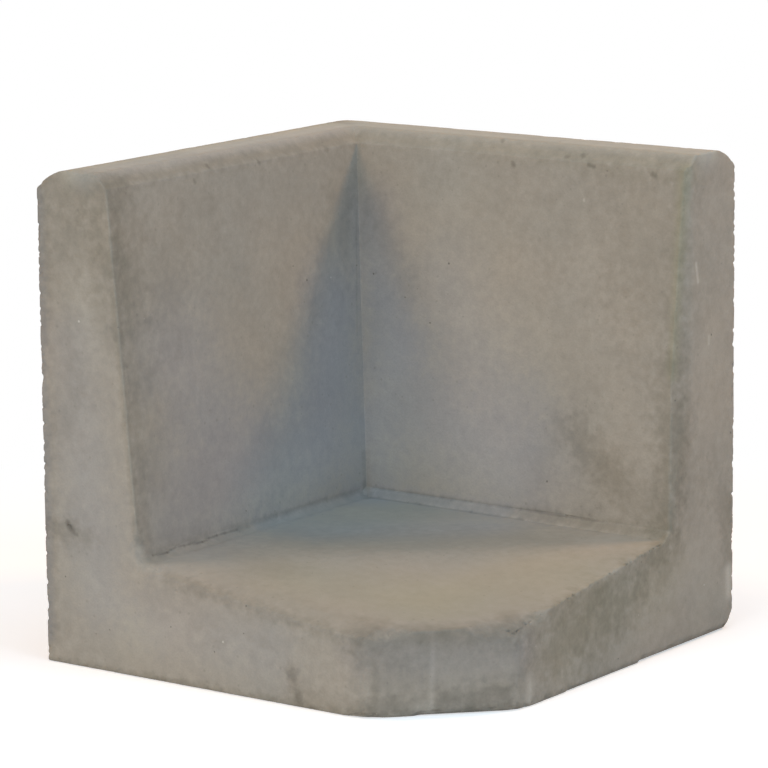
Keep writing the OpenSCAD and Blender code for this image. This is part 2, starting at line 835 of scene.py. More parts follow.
class SurfaceEffects:
    """Node groups for the effects that concrete finishes are mixed from."""

    def __init__(self) -> None:
        """Builds every group once."""
        self.clouds = self.build_clouds()
        self.pores = self.build_pores()
        self.mark = self.build_mark()

    @staticmethod
    def build_clouds() -> bpy.types.ShaderNodeTree:
        """Soft layered variation.

        Returns:
            The group, whose value is 0 to 1 around a half.
        """
        inputs = {"Place": ORIGIN, "Size": 0.05, "Detail": 4.0, "Contrast": 1.0}
        tree = GroupTree("clouds", "Value", inputs)
        given = tree.given
        noise = tree.add(
            "ShaderNodeTexNoise",
            {
                "Vector": given["Place"],
                "Scale": tree.math("DIVIDE", 1.0, given["Size"]),
                "Detail": given["Detail"],
                "Roughness": 0.55,
            },
        )
        centred = tree.math("SUBTRACT", noise.outputs[0], 0.5)
        swung = tree.math("MULTIPLY", centred, given["Contrast"])
        return tree.finish(tree.math("ADD", swung, 0.5, clamp=True))

    @staticmethod
    def build_pores() -> bpy.types.ShaderNodeTree:
        """Scattered round spots.

        Returns:
            The group, whose mask is 1 in the middle of each spot.
        """
        smallest, core = 0.02, 0.35
        inputs = {"Place": ORIGIN, "Spacing": 0.012, "Share": 0.3, "Radius": 0.15}
        tree = GroupTree("pores", "Mask", inputs)
        given = tree.given
        scale = tree.math("DIVIDE", 1.0, given["Spacing"])
        settings = {"Vector": given["Place"], "Scale": scale, "Randomness": 1.0}
        cells = tree.add("ShaderNodeTexVoronoi", settings).outputs
        tone = tree.add("ShaderNodeSeparateColor", {0: cells["Color"]}).outputs
        chosen = tree.math("LESS_THAN", tone[0], given["Share"])
        radius = tree.math("MULTIPLY", tone[1], given["Radius"])
        radius = tree.math("ADD", radius, smallest)
        ratio = tree.math("DIVIDE", cells["Distance"], radius)
        dome = tree.span(ratio, 1.0, core)
        return tree.finish(tree.math("MULTIPLY", dome, chosen))

    @staticmethod
    def build_mark() -> bpy.types.ShaderNodeTree:
        """One ragged mark along a short line.

        Returns:
            The group, which takes the mark from what is still clear.
        """
        inputs = {
            "Place": ORIGIN,
            "Clear": 1.0,
            "Wobble": 0.0,
            "Start": ORIGIN,
            "Run": (0.0, 0.0, 0.01),
            "Reach": 0.01,
            "Ragged": 0.5,
            "Strength": 1.0,
        }
        tree = GroupTree("mark", "Clear", inputs)
        given = tree.given
        run = given["Run"]
        offset = tree.vector("SUBTRACT", given["Place"], given["Start"])
        along = tree.vector("DOT_PRODUCT", offset, run)
        square = tree.vector("DOT_PRODUCT", run, run)
        share = tree.math("MAXIMUM", tree.math("DIVIDE", along, square), 0.0)
        share = tree.math("MINIMUM", share, 1.0)
        gap = tree.vector("DISTANCE", offset, tree.vector("SCALE", run, share))
        ratio = tree.math("DIVIDE", gap, given["Reach"])
        bent = tree.math("MULTIPLY", given["Wobble"], given["Ragged"])
        dome = tree.span(tree.math("ADD", ratio, bent), 1.0, 0.0)
        mask = tree.math("MULTIPLY", dome, given["Strength"])
        left = tree.math("SUBTRACT", 1.0, mask)
        return tree.finish(tree.math("MULTIPLY", left, given["Clear"]))


class StainAndLight(Enum):
    """Kinds of mark on the concrete, each with the tint that it turns to. Besides real
    stains, grime and lime spots, the dark and bluish kinds paint shade and the pale, warm and
    lime kinds paint light.
    """

    # Darkens: damp patches, and painted shade in the inward corner, the toe creases, on the
    # foot's back part, on the nose, on the rim's inner bevel and along the bottom edges.
    DAMP_AND_SHADE = (0.60, 0.585, 0.53)
    # Darkest: pits, grime and the dark of the seams, and painted shade down and at the foot
    # of the inward corner.
    GRIME_AND_SHADE = (0.36, 0.35, 0.33)
    # Bluish: a cool tone, and painted cool shade in the inward corner, on the foot's back
    # part, in the toe creases and over the nose.
    COOL_TINT_AND_SHADE = (0.910, 0.985, 1.20)
    # Warm: a sandy tone, and painted warm light on the foot's lit front part.
    SAND_AND_WARM_LIGHT = (1.005, 1.025, 0.90)
    # Lighter: pale clouds, painted light on the rim's top, and painted light that lifts the
    # shade down the inward corner.
    PALE_AND_LIGHT = (1.27, 1.295, 1.27)
    # Lightest: lime spots and streaks, painted light on the rim's top, and a painted
    # highlight along the nose's top edge.
    LIME_AND_HIGHLIGHT = (1.40, 1.42, 1.46)


@dataclass(frozen=True)
class Mark:
    """A mark along a short line, whose ends are (u, v, z) in millimetres; marks are stains,
    painted shade and painted light.
    """

    stain_and_light: StainAndLight
    start: Place
    end: Place
    reach: float
    strength: float
    ragged: float


@dataclass(frozen=True)
class ConcreteFinish:
    """Matt cast concrete: warm grey-beige with cooler clouds, sand, pores, light spots that
    are partly painted glints on pits, and marks of stains and of painted shade and light.
    """

    marks: tuple[Mark, ...]
    seams: tuple[Seam, ...]
    half_leg: float
    warm: Colour = (0.321, 0.288, 0.238, 1.0)
    cool: Colour = (0.287, 0.273, 0.238, 1.0)
    pore: Colour = (0.115, 0.105, 0.088, 1.0)
    # Colour of the light spots, which are partly painted glints on the rims of pits.
    fleck_and_glint: Colour = (0.50, 0.48, 0.43, 1.0)
    roughness: tuple[float, float] = (0.86, 0.96)
    specular: float = 0.25
    swings: tuple[float, float, float] = (0.07, 0.07, 0.06)
    speck_share: float = 0.20
    fleck_and_glint_share: float = 0.8
    pore_share: float = 0.75
    bump_strength: float = 0.55
    bump_height: float = 0.7 * MM
    sand_height: float = 0.25
    mottle_height: float = 0.35
    seam_ragged: float = 0.3
    trowelled_under: float = 0.2
    trowelled_tilt: tuple[float, float] = (0.80, 0.96)

    def material(self, effects: SurfaceEffects) -> bpy.types.Material:
        """Builds the material.

        Args:
            effects: the shared node groups.

        Returns:
            The concrete material.
        """
        material = bpy.data.materials.new("cast_concrete")
        tree = emptied_tree(material)
        place = tree.add("ShaderNodeTexCoord").outputs["Object"]

        broad = tree.group(effects.clouds, place, Size=0.11, Detail=2.0, Contrast=1.8)
        blotch = tree.group(effects.clouds, place, Size=0.030, Detail=3.0, Contrast=1.6)
        mottle = tree.group(effects.clouds, place, Size=0.0075, Detail=2.0, Contrast=1.7)
        sand = tree.group(effects.clouds, place, Size=0.0016, Detail=2.0, Contrast=1.8)
        specks = tree.group(effects.pores, place, Spacing=0.008, Share=0.6, Radius=0.20)
        pores = tree.group(effects.pores, place, Spacing=0.015, Share=0.30, Radius=0.07)
        # Light spots, partly painted glints on the rims of pits.
        flecks_and_glints = tree.group(effects.pores, place, Spacing=0.020, Share=0.10, Radius=0.05)

        tone = tree.mix(broad, self.warm, self.cool)
        trowelled = self.trowelled(tree, place)
        for value, swing in zip((blotch, mottle, sand), self.swings):
            tone = self.shade(tree, tone, value, swing, trowelled)
        wobble = tree.math("SUBTRACT", tree.math("ADD", blotch, mottle), 1.0)
        # Lays every kind of mark over the tone: stains, and painted shade and light.
        for stain_and_light in StainAndLight:
            mask = self.stain_and_light_mask(tree, effects, place, wobble, stain_and_light)
            tinted = tree.mix(1.0, tone, (*stain_and_light.value, 1.0), "MULTIPLY")
            tone = tree.mix(mask, tone, tinted)
        spots = (
            (specks, self.speck_share, self.pore),
            (flecks_and_glints, self.fleck_and_glint_share, self.fleck_and_glint),
            (pores, self.pore_share, self.pore),
        )
        for mask, share, colour in spots:
            tone = tree.mix(tree.math("MULTIPLY", mask, share), tone, colour)

        grains = tree.math("MULTIPLY", sand, self.sand_height)
        mounds = tree.math("MULTIPLY", mottle, self.mottle_height)
        height = tree.math("SUBTRACT", tree.math("ADD", grains, mounds), pores)
        relief = {
            "Strength": self.bump_strength,
            "Distance": self.bump_height,
            "Height": height,
        }
        look = {
            "Base Color": tone,
            "Roughness": tree.span(sand, 0.0, 1.0, *self.roughness),
            "Specular IOR Level": self.specular,
            "Normal": tree.add("ShaderNodeBump", relief).outputs[0],
        }
        shader = tree.add("ShaderNodeBsdfPrincipled", look)
        tree.add("ShaderNodeOutputMaterial", {0: shader.outputs[0]})
        return material

    def trowelled(self, tree: NodeTree, place: Socket) -> Socket:
        """Finds the foot's upper side, which is smoother than the moulded faces.

        Args:
            tree: the material's builder.
            place: object coordinates.

        Returns:
            Its mask.
        """
        normal = tree.add("ShaderNodeNewGeometry").outputs["Normal"]
        upward = tree.add("ShaderNodeSeparateXYZ", {0: normal}).outputs[2]
        level = tree.span(upward, *self.trowelled_tilt)
        height = tree.add("ShaderNodeSeparateXYZ", {0: place}).outputs[2]
        low = tree.math("LESS_THAN", height, self.trowelled_under)
        return tree.math("MULTIPLY", level, low)

    @staticmethod
    def shade(
        tree: NodeTree, tone: Socket, value: Socket, swing: float, calm: Socket
    ) -> Socket:
        """Lightens and darkens a colour.

        Args:
            tree: the material's builder.
            tone: the colour.
            value: 0 to 1, a half leaves the colour as it is.
            swing: largest share by which it is lightened or darkened.
            calm: mask where only half of the swing is left.

        Returns:
            The shaded colour.
        """
        centred = tree.math("SUBTRACT", value, 0.5)
        strength = tree.math("MULTIPLY_ADD", calm, -0.5, 1.0)
        swung = tree.math("MULTIPLY", centred, strength)
        factor = tree.math("MULTIPLY_ADD", swung, 2 * swing, 1.0)
        return tree.vector("SCALE", tone, factor)

    def stain_and_light_mask(
        self,
        tree: NodeTree,
        effects: SurfaceEffects,
        place: Socket,
        wobble: Socket,
        stain_and_light: StainAndLight,
    ) -> Socket:
        """Joins all marks of one kind into one mask.

        Args:
            tree: the material's builder.
            effects: the shared node groups.
            place: object coordinates.
            wobble: noise about zero that makes the marks ragged.
            stain_and_light: the kind.

        Returns:
            The mask.
        """
        clear: Feed = 1.0
        for mark in self.all_marks():
            if mark.stain_and_light is not stain_and_light:
                continue
            start, end = self.to_row(mark.start), self.to_row(mark.end)
            clear = tree.group(
                effects.mark,
                place,
                Clear=clear,
                Start=start,
                Run=end - start,
                Reach=mark.reach * MM,
                Ragged=mark.ragged,
                Strength=mark.strength,
                Wobble=wobble,
            )
        return tree.math("SUBTRACT", 1.0, clear)

    def all_marks(self) -> list[Mark]:
        """Joins the marks of stains and of painted shade and light with the dark of the open
        seams, which is partly painted shade in the creases and down the inward corner.

        Returns:
            All marks.
        """
        dark = [
            Mark(StainAndLight.GRIME_AND_SHADE, start, end, seam.reach, seam.strength, self.seam_ragged)
            for seam in self.seams
            for start, end in seam.lines()
        ]
        return [*self.marks, *dark]

    def to_row(self, place: Place) -> Vector:
        """Turns (u, v, z) in millimetres into row coordinates."""
        u, v, z = (value * MM for value in place)
        return Vector((u - self.half_leg, self.half_leg - v, z))


@dataclass
class CornerElement:
    """The cast element: one piece, whose skin is cut from the CAD solid."""

    sizes: ElementSizes
    weathering: Weathering
    finish: ConcreteFinish
    soft_edges: tuple[SoftEdge, ...]
    rough_edges: tuple[Line, ...]
    worn_bevels: tuple[WornBevel, ...]
    chips: tuple[Chip, ...]
    seams: tuple[Seam, ...]
    fine: float = 1.5 * MM
    coarse_across: float = 5.0 * MM
    coarse_up: float = 4.0 * MM
    detail: float = 1.7 * MM
    detail_reach: float = 7 * MM
    halvings: int = 2
    merge: float = 0.01 * MM
    sliver: float = 0.15 * MM
    flat: float = math.radians(0.3)
    sharp_hollow: float = math.radians(18)
    name: str = "weathered_corner_element"

    def build(self, node: bpy.types.Object, effects: SurfaceEffects) -> bpy.types.Object:
        """Makes the skin, finishes it and puts it in the CAD node's place.

        Args:
            node: the CAD node, which is left as it is.
            effects: the shared node groups.

        Returns:
            The finished piece.
        """
        bm = self.true_mesh(node)
        self.refine(bm)
        mesh = bpy.data.meshes.new(self.name)
        bm.to_mesh(mesh)
        bm.free()
        self.weather(mesh)
        self.shade(mesh)
        mesh.materials.append(self.finish.material(effects))
        piece = linked(self.name, mesh)
        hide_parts(NODE)
        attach(piece, "root")
        LOG.info("%s: %d triangles", self.name, len(mesh.polygons))
        return piece

    def true_mesh(self, node: bpy.types.Object) -> bmesh.types.BMesh:
        """Copies the CAD node's mesh, merged into its flat faces.

        Args:
            node: the CAD node.

        Returns:
            The copy.
        """
        bm = bmesh.new()
        bm.from_mesh(node.data)
        bmesh.ops.remove_doubles(bm, verts=bm.verts, dist=self.merge)
        bmesh.ops.dissolve_limit(bm, angle_limit=self.flat, verts=bm.verts, edges=bm.edges)
        return bm

    def refine(self, bm: bmesh.types.BMesh) -> None:
        """Cuts the flat faces into a grid that is finest near the edges.

        Args:
            bm: the merged copy.
        """
        s = self.sizes
        half, lip = s.half_leg, s.rim_thickness - s.inner_bevel_width
        depths = [0.0, s.outer_bevel_width, lip, s.crease_offset, s.nose_corner, s.leg_length]
        toe_top = s.foot_height + s.toe_bevel
        bevel_foot = s.body_height - s.outer_bevel_drop
        levels = [0.0, s.nose_height, toe_top, bevel_foot, s.body_height]
        cuts = (
            (Axis.X, [d - half for d in depths], self.coarse_across),
            (Axis.Y, sorted(half - d for d in depths), self.coarse_across),
            (Axis.Z, levels, self.coarse_up),
        )
        for axis, breaks, coarse in cuts:
            slice_mesh(bm, axis, cut_places(breaks, self.fine, coarse))
        bmesh.ops.remove_doubles(bm, verts=bm.verts, dist=self.sliver)
        for _ in range(self.halvings):
            self.split_near_lines(bm)
        bmesh.ops.triangulate(bm, faces=bm.faces)
        bmesh.ops.recalc_face_normals(bm, faces=bm.faces)

    def detail_lines(self) -> list[Line]:
        """Lists the lines near which the skin needs small faces.

        Returns:
            Pairs of (u, v, z).
        """
        s = self.sizes
        rim, root, length = s.rim_thickness, s.root_thickness, s.leg_length
        crease, corner, foot = s.crease_offset, s.nose_corner, s.foot_height
        top, toe_top, nose = s.body_height, foot + s.toe_bevel, s.nose_height
        inner, left = (root, root, toe_top), (corner, length, nose)
        left_lines = (
            (inner, (root, length, toe_top)),
            ((crease, crease, foot), (crease, length, foot)),
            ((crease, length, foot), left),
            ((rim, length, top), (root, length, toe_top)),
            ((corner, length, 0.0), left),
        )
        lines = [((rim, rim, top), inner), (left, mirrored(left)), *left_lines]
        lines += [(mirrored(start), mirrored(end)) for start, end in left_lines]
        lines += self.rough_edges
        lines += [(chip.centre, chip.centre) for chip in self.chips]
        for seam in self.seams:
            lines += [(np.array(a) * MM, np.array(b) * MM) for a, b in seam.lines()]
        return lines

    def split_near_lines(self, bm: bmesh.types.BMesh) -> None:
        """Halves the long edges that lie near the detail lines.

        Args:
            bm: the sliced skin.
        """
        edges = [e for e in bm.edges if e.calc_length() > self.detail]
        ends = np.array([[*e.verts[0].co, *e.verts[1].co] for e in edges])
        middle = (ends[:, :3] + ends[:, 3:]) / 2
        near = nearest_line(self.sizes.depths(middle), self.detail_lines())
        chosen = [edge for edge, gap in zip(edges, near) if gap < self.detail_reach]
        bmesh.ops.subdivide_edges(bm, edges=chosen, cuts=1, use_grid_fill=True)

    def weather(self, mesh: bpy.types.Mesh) -> None:
        """Moves the skin onto the worn form, and lays relief over it.

        Args:
            mesh: the refined skin.
        """
        w = self.weathering
        form = CornerForm(self.sizes, self.worn_bevels, self.chips, self.seams)
        points = np.empty(len(mesh.vertices) * 3)
        mesh.vertices.foreach_get("co", points)
        points = points.reshape(-1, 3)
        sharp = np.maximum.reduce(form.faces(points))
        LOG.info("CAD mesh to form: %.3f mm", np.abs(sharp).max() / MM)
        noise = LatticeNoise(w.seed)
        ragged = noise.layered(points, w.chip_size, w.edge_layers)
        shifted = points + w.edge_radius_shift
        swing = noise.layered(shifted, w.edge_radius_size, w.edge_layers)
        radius = np.maximum(w.edge_radius + w.edge_radius_swing * swing, w.least_radius)
        radius = np.maximum(radius, self.soft_radius(points))
        moved = points.copy()
        for _ in range(w.steps):
            value, slope = self.slope(form, moved, radius, ragged)
            moved -= value[:, None] * slope
        gap = form.edge_gap(points)
        lift = w.underside_lift * np.exp(-gap / w.underside_reach)
        low = np.maximum(moved[:, 2], lift)
        depth = np.zeros(len(points))
        for relief in w.reliefs:
            drawn = noise.layered(points + relief.shift, relief.size, relief.layers)
            depth += relief.depth * hollows(drawn)
        crumble = noise.layered(points, w.edge_crumble_size, w.crumble_layers)
        crumble = np.clip(w.edge_crumble_gain * crumble + w.edge_crumble_offset, 0, 1)
        at_edges = w.edge_crumble + w.rough_crumble * self.rough_share(points)
        depth += at_edges * crumble * np.exp(-gap / w.edge_crumble_reach)
        _, slope = self.slope(form, moved, radius, ragged)
        moved -= depth[:, None] * slope
        resting = points[:, 2] < self.merge
        moved[resting, 2] = low[resting]
        moved[:, 2] = np.maximum(moved[:, 2], 0.0)
        mesh.vertices.foreach_set("co", moved.ravel())
        mesh.update()

    def shade(self, mesh: bpy.types.Mesh) -> None:
        """Shades the skin smooth, and keeps its inward corners sharp.

        Args:
            mesh: the weathered skin.
        """
        bm = bmesh.new()
        bm.from_mesh(mesh)
        for face in bm.faces:
            face.smooth = True
        for edge in bm.edges:
            if edge.calc_face_angle_signed(0.0) < -self.sharp_hollow:
                edge.smooth = False
        bm.to_mesh(mesh)
        bm.free()

    def soft_radius(self, points: np.ndarray) -> np.ndarray:
        """Rounding radius that the softer stretches of edge ask for.

        Args:
            points: N x 3 coordinates.

        Returns:
            One radius for each point, 0 away from them.
        """
        places = self.sizes.depths(points)
        radius = np.zeros(len(points))
        for edge in self.soft_edges:
            away, _ = line_distance(places, edge.start, edge.end)
            share = np.clip(2 * (1 - away / edge.reach), 0, 1)
            radius = np.maximum(radius, edge.radius * share)
        return radius

    def rough_share(self, points: np.ndarray) -> np.ndarray:
        """How much each point belongs to an edge that crumbled more, 0 to 1."""
        near = nearest_line(self.sizes.depths(points), self.rough_edges)
        return np.exp(-((near / self.weathering.rough_reach) ** 2))

    @staticmethod
    def slope(
        form: CornerForm, points: np.ndarray, radius: np.ndarray, ragged: np.ndarray
    ) -> tuple[np.ndarray, np.ndarray]:
        """Distance to the worn form and the direction in which it grows.

        Args:
            form: the shape.
            points: N x 3 coordinates.
            radius: rounding radius at each point.
            ragged: noise at each point.

        Returns:
            The distances and the unit directions.
        """
        step, least = 0.05 * MM, 0.2
        columns = []
        for axis in Axis:
            shift = np.zeros(3)
            shift[axis.value] = step
            ahead = form.distance(points + shift, radius, ragged)
            behind = form.distance(points - shift, radius, ragged)
            columns.append((ahead - behind) / (2 * step))
        direction = np.stack(columns, axis=1)
        length = np.linalg.norm(direction, axis=1)
        direction /= np.maximum(length, least)[:, None]
        return form.distance(points, radius, ragged), direction


@dataclass(frozen=True)
class Softbox:
    """A square lamp that looks at the element."""

    name: str
    azimuth: float
    elevation: float
    distance: float
    size: float
    watts: float
    colour: tuple[float, float, float]


@dataclass
class Studio:
    """Pale floor, plain soft light and the camera."""

    softboxes: tuple[Softbox, ...]
    fill_colour: Colour = (0.72, 0.82, 1.0, 1.0)
    fill_strength: float = 0.22
    floor_colour: Colour = (0.80, 0.80, 0.80, 1.0)
    floor_half: float = 6.0
    floor_lift: float = 0.42
    floor_near: float = 0.35
    floor_far: float = 0.80
    camera_azimuth: float = 36.166
    camera_elevation: float = 10.925
    camera_roll: float = -0.569
    camera_distance: float = 3.3191
    sensor_width: float = 36.0
    lens_per_frame: float = 5.3572
    aim: Place = (-0.0084, 0.0, 0.2147)

    def build(self) -> None:
        """Adds the floor, the lamps, the world and the camera."""
        bpy.context.scene.view_settings.view_transform = "Standard"
        self.build_floor()
        self.build_world()
        for lamp in self.softboxes:
            self.build_lamp(lamp)
        self.build_camera()
        LOG.info("studio: floor, %d lamps and camera", len(self.softboxes))

    def build_floor(self) -> None:
        """Adds a pale floor that keeps the element's shadow."""
        mesh = bpy.data.meshes.new("floor")
        bm = bmesh.new()
        bmesh.ops.create_grid(bm, x_segments=1, y_segments=1, size=self.floor_half)
        bm.to_mesh(mesh)
        bm.free()
        floor = linked("floor", mesh)
        material = bpy.data.materials.new("pale_floor")
        tree = emptied_tree(material)
        plain = tree.add("ShaderNodeBsdfDiffuse", {0: self.floor_colour}).outputs[0]
        lift = tree.add("ShaderNodeEmission", {0: WHITE, 1: self.floor_lift}).outputs[0]
        bright = tree.add("ShaderNodeEmission", {0: WHITE, 1: 1.0}).outputs[0]
        lifted = tree.add("ShaderNodeAddShader", {0: plain, 1: lift}).outputs[0]
        place = tree.add("ShaderNodeTexCoord").outputs["Object"]
        away = tree.vector("DISTANCE", place, ORIGIN)
        far = tree.span(away, self.floor_near, self.floor_far)
        shown = tree.add("ShaderNodeMixShader", {0: far, 1: lifted, 2: bright})
        seen = tree.add("ShaderNodeLightPath").outputs["Is Camera Ray"]
        mixed = tree.add("ShaderNodeMixShader", {0: seen, 1: plain, 2: shown.outputs[0]})
        tree.add("ShaderNodeOutputMaterial", {0: mixed.outputs[0]})
        mesh.materials.append(material)

    def build_world(self) -> None:
        """Adds a soft cool fill that shows as white behind the element."""
        world = bpy.data.worlds.new("studio")
        tree = emptied_tree(world)
        fill = {0: self.fill_colour, 1: self.fill_strength}
        fill = tree.add("ShaderNodeBackground", fill).outputs[0]
        white = tree.add("ShaderNodeBackground", {0: WHITE, 1: 1.0}).outputs[0]
        path = tree.add("ShaderNodeLightPath").outputs
        seen = tree.math("MAXIMUM", path["Is Camera Ray"], path["Is Glossy Ray"])
        seen = tree.math("MAXIMUM", seen, path["Is Transmission Ray"])
        mixed = tree.add("ShaderNodeMixShader", {0: seen, 1: fill, 2: white})
        tree.add("ShaderNodeOutputWorld", {0: mixed.outputs[0]})
        bpy.context.scene.world = world

    def build_lamp(self, lamp: Softbox) -> None:
        """Adds one softbox, aimed at the element's middle.

        Args:
            lamp: its place and light.
        """
        data = bpy.data.lights.new(lamp.name, "AREA")
        data.shape = "SQUARE"
        data.size = lamp.size
        data.energy = lamp.watts
        data.color = lamp.colour
        light = linked(lamp.name, data)
        back = direction_from(lamp.azimuth, lamp.elevation)
        light.location = Vector(self.aim) + back * lamp.distance
        light.rotation_euler = (-back).to_track_quat("-Z", "Y").to_euler()
        light.visible_camera = False

    def build_camera(self) -> None:
        """Adds the camera, with the long lens of a catalogue view."""
        data = bpy.data.cameras.new("camera")
        data.sensor_width = self.sensor_width
        data.lens = self.lens_per_frame * data.sensor_width
        data.clip_end = 100.0
        camera = linked("camera", data)
        back = direction_from(self.camera_azimuth, self.camera_elevation)
        turn = (-back).to_track_quat("-Z", "Y").to_matrix()
        roll = Matrix.Rotation(math.radians(self.camera_roll), 3, "Z")
        camera.rotation_euler = (turn @ roll).to_euler()
        camera.location = Vector(self.aim) + back * self.camera_distance
        bpy.context.scene.camera = camera


def linked(name: str, data: bpy.types.ID) -> bpy.types.Object:
    """Makes an object and puts it in the scene.

    Args:
        name: its name.
        data: its mesh, lamp or camera.

    Returns:
        The object.
    """
    made = bpy.data.objects.new(name, data)
    bpy.context.scene.collection.objects.link(made)
    return made


def emptied_tree(owner: bpy.types.Material | bpy.types.World) -> NodeTree:
    """Clears the nodes of a new material or world.

    Args:
        owner: the material or world.

    Returns:
        The builder of its tree.
    """
    owner.use_nodes = True
    owner.node_tree.nodes.clear()
    return NodeTree(owner.node_tree)


def direction_from(azimuth: float, elevation: float) -> Vector:
    """Unit vector towards a place round the element.

    Args:
        azimuth: degrees; 0 is in front at -Y, 90 is at +X.
        elevation: degrees above the floor.

    Returns:
        The vector.
    """
    a, e = math.radians(azimuth), math.radians(elevation)
    return Vector((math.sin(a) * math.cos(e), -math.cos(a) * math.cos(e), math.sin(e)))


SOFTBOXES = (
    Softbox("front_softbox", 0.0, 8.0, 2.6, 2.0, 49.5, (1.0, 0.985, 0.955)),
    Softbox("side_softbox", 90.0, 25.0, 2.6, 2.0, 28.0, (0.71, 0.86, 1.0)),
    Softbox("overhead_softbox", 45.0, 85.0, 2.6, 1.6, 25.0, (0.45, 0.77, 1.0)),
    Softbox("left_key", -61.0, 60.0, 2.2, 0.7, 15.0, (1.0, 0.50, 0.12)),
    Softbox("right_key", 142.0, 48.0, 2.2, 0.4, 16.5, (1.0, 0.50, 0.12)),
)

# Along the left toe in two stretches, the right toe's upper and lower line, the corner. The
# corner line has no depth and is only painted shade down the inward corner, and the dark of
# the right toe's lines is partly painted shade in the creases.
SEAMS = (
    Seam(
        (
            (98.8, 384, 97),
            (99.3, 367, 96),
            (98.4, 354, 98),
            (98.8, 338, 97),
            (99.3, 322, 96),
            (98.5, 302, 97.6),
            (98.8, 276, 97),
        ),
        depth=1.1,
        reach=1.7,
        strength=0.65,
    ),
    Seam(
        ((98.8, 276, 97), (98.1, 222, 99), (98.1, 154, 99), (98.4, 108, 98)),
        depth=0.5,
        reach=3.6,
        strength=0.24,
    ),
    Seam(
        ((104, 98, 100), (205, 98, 100), (255, 98, 100), (336, 97, 99)),
        depth=0.8,
        reach=2.2,
        strength=0.34,
    ),
    Seam(
        ((106, 105, 93), (158, 105, 93), (210, 105, 93), (262, 105, 93)),
        depth=0.8,
        reach=2.6,
        strength=0.30,
    ),
    # Painted shade only: a dark line down the inward corner, not cut in.
    Seam(
        ((77, 79, 335), (79, 83, 308), (83, 89, 262), (86, 93, 228)),
        depth=0.0,
        reach=1.8,
        strength=0.14,
    ),
)

